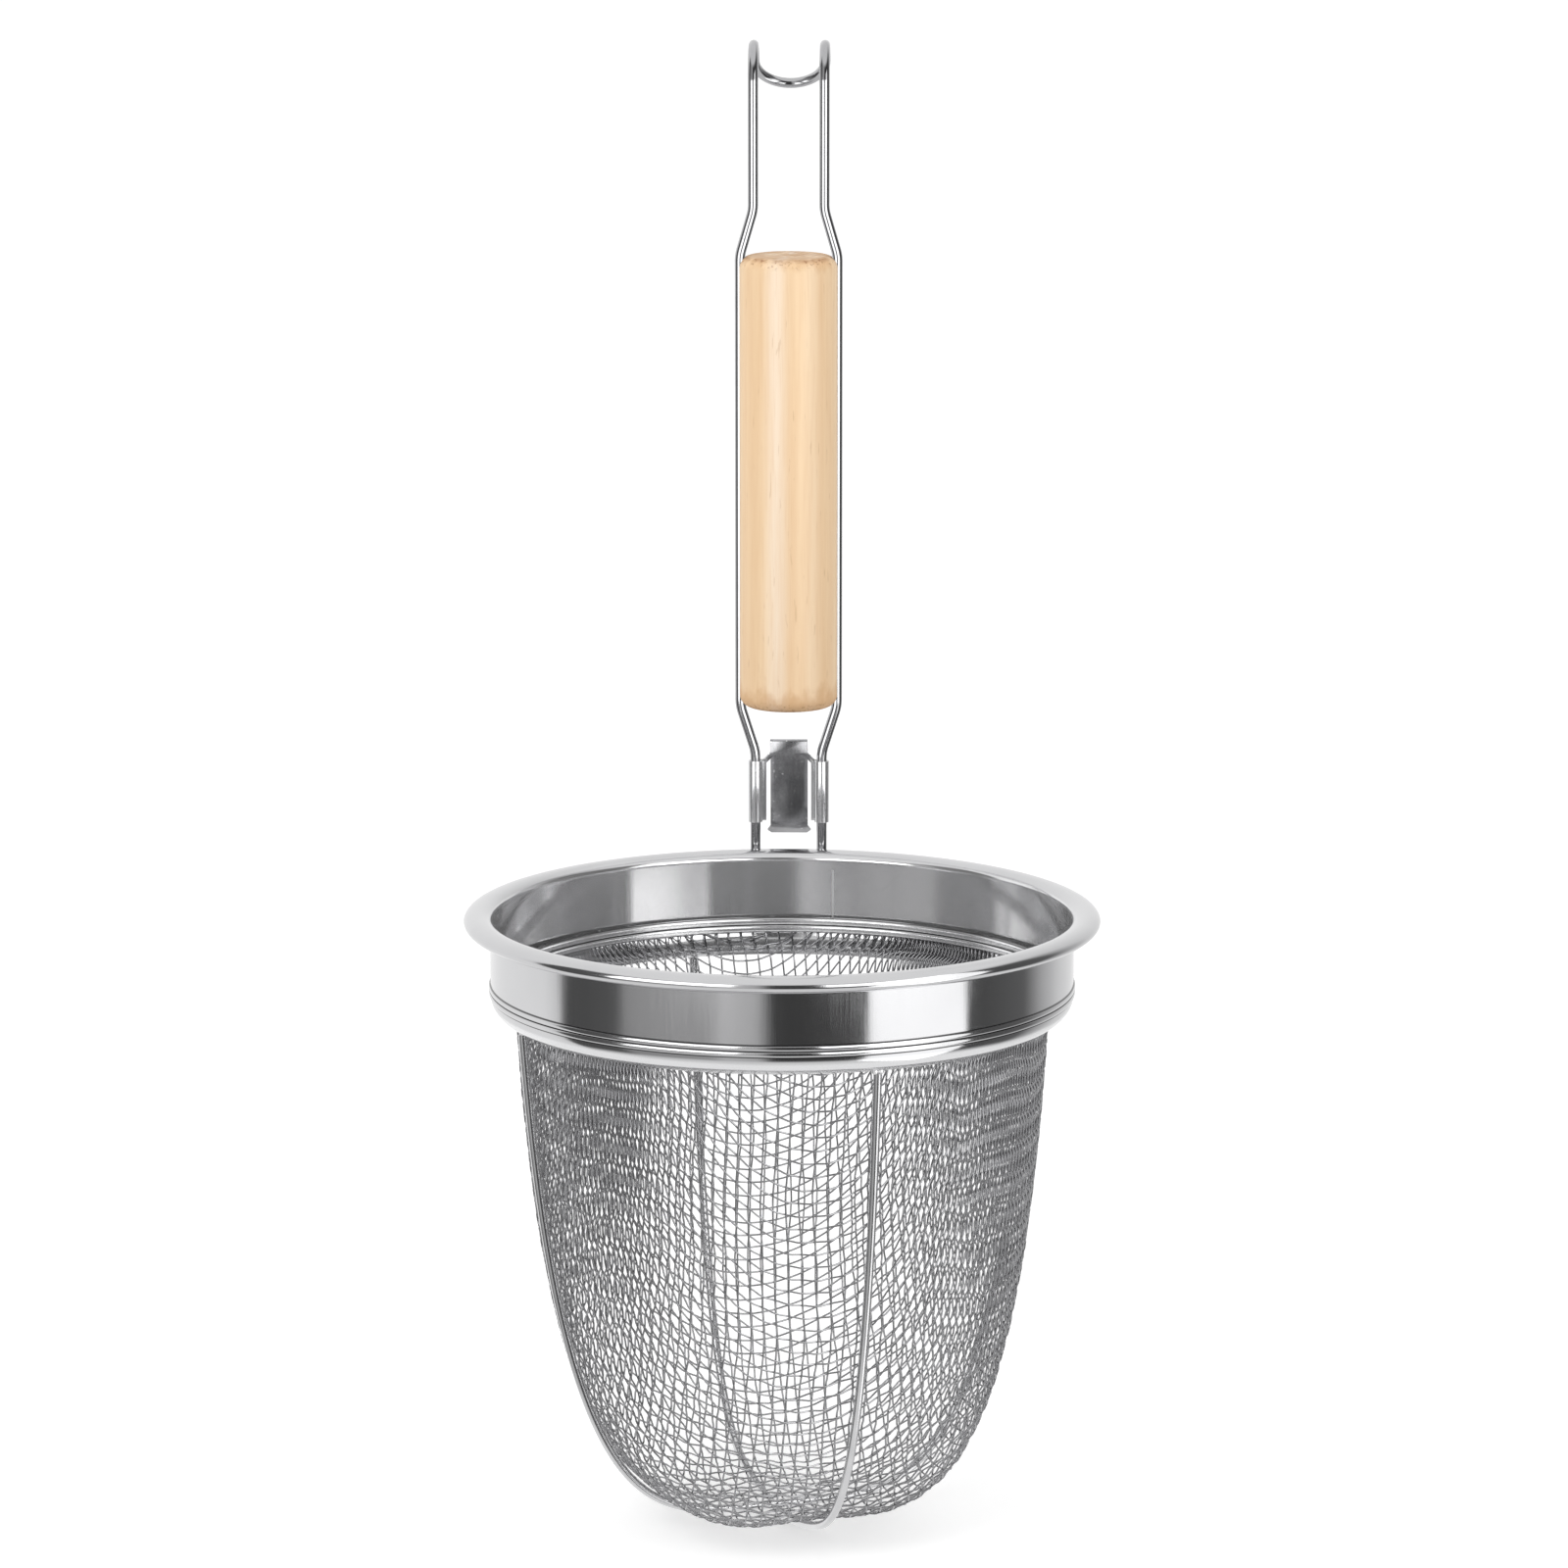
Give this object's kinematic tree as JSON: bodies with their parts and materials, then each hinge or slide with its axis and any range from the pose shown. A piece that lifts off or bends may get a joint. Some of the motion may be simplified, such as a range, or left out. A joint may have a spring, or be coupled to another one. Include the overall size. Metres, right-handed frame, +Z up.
{
  "type": "noodle strainer",
  "caption": "Deep woven-wire strainer cup in a rolled steel rim on an upright hairpin wire handle with a wooden grip, a hanging hook and a pot clip.",
  "frame": {"origin": "where a rail lies under the crown of the hook, midway between the two handle wires", "axes": "+Z up along the handle, +Y away from the cup, +X across the two handle wires"},
  "size_m": [0.15, 0.1744, 0.3462],
  "materials": {
    "rim_steel": "polished stainless sheet",
    "hoop_steel": "satin stainless strip",
    "mesh_steel": "bright drawn stainless wire, plain square weave",
    "cradle_steel": "bright drawn stainless wire",
    "handle_steel": "bright drawn stainless wire",
    "grip_wood": "pale turned wood, lightly oiled",
    "clip_steel": "satin stainless sheet"
  },
  "bodies": {
    "root": {"rim_band": "rim_steel", "clamp_hoop": "hoop_steel", "mesh_cup": "mesh_steel", "cradle_wire_upper": "cradle_steel", "cradle_wire_lower": "cradle_steel", "handle_wire": "handle_steel", "grip": "grip_wood", "pot_clip": "clip_steel"}
  },
  "joints": []
}
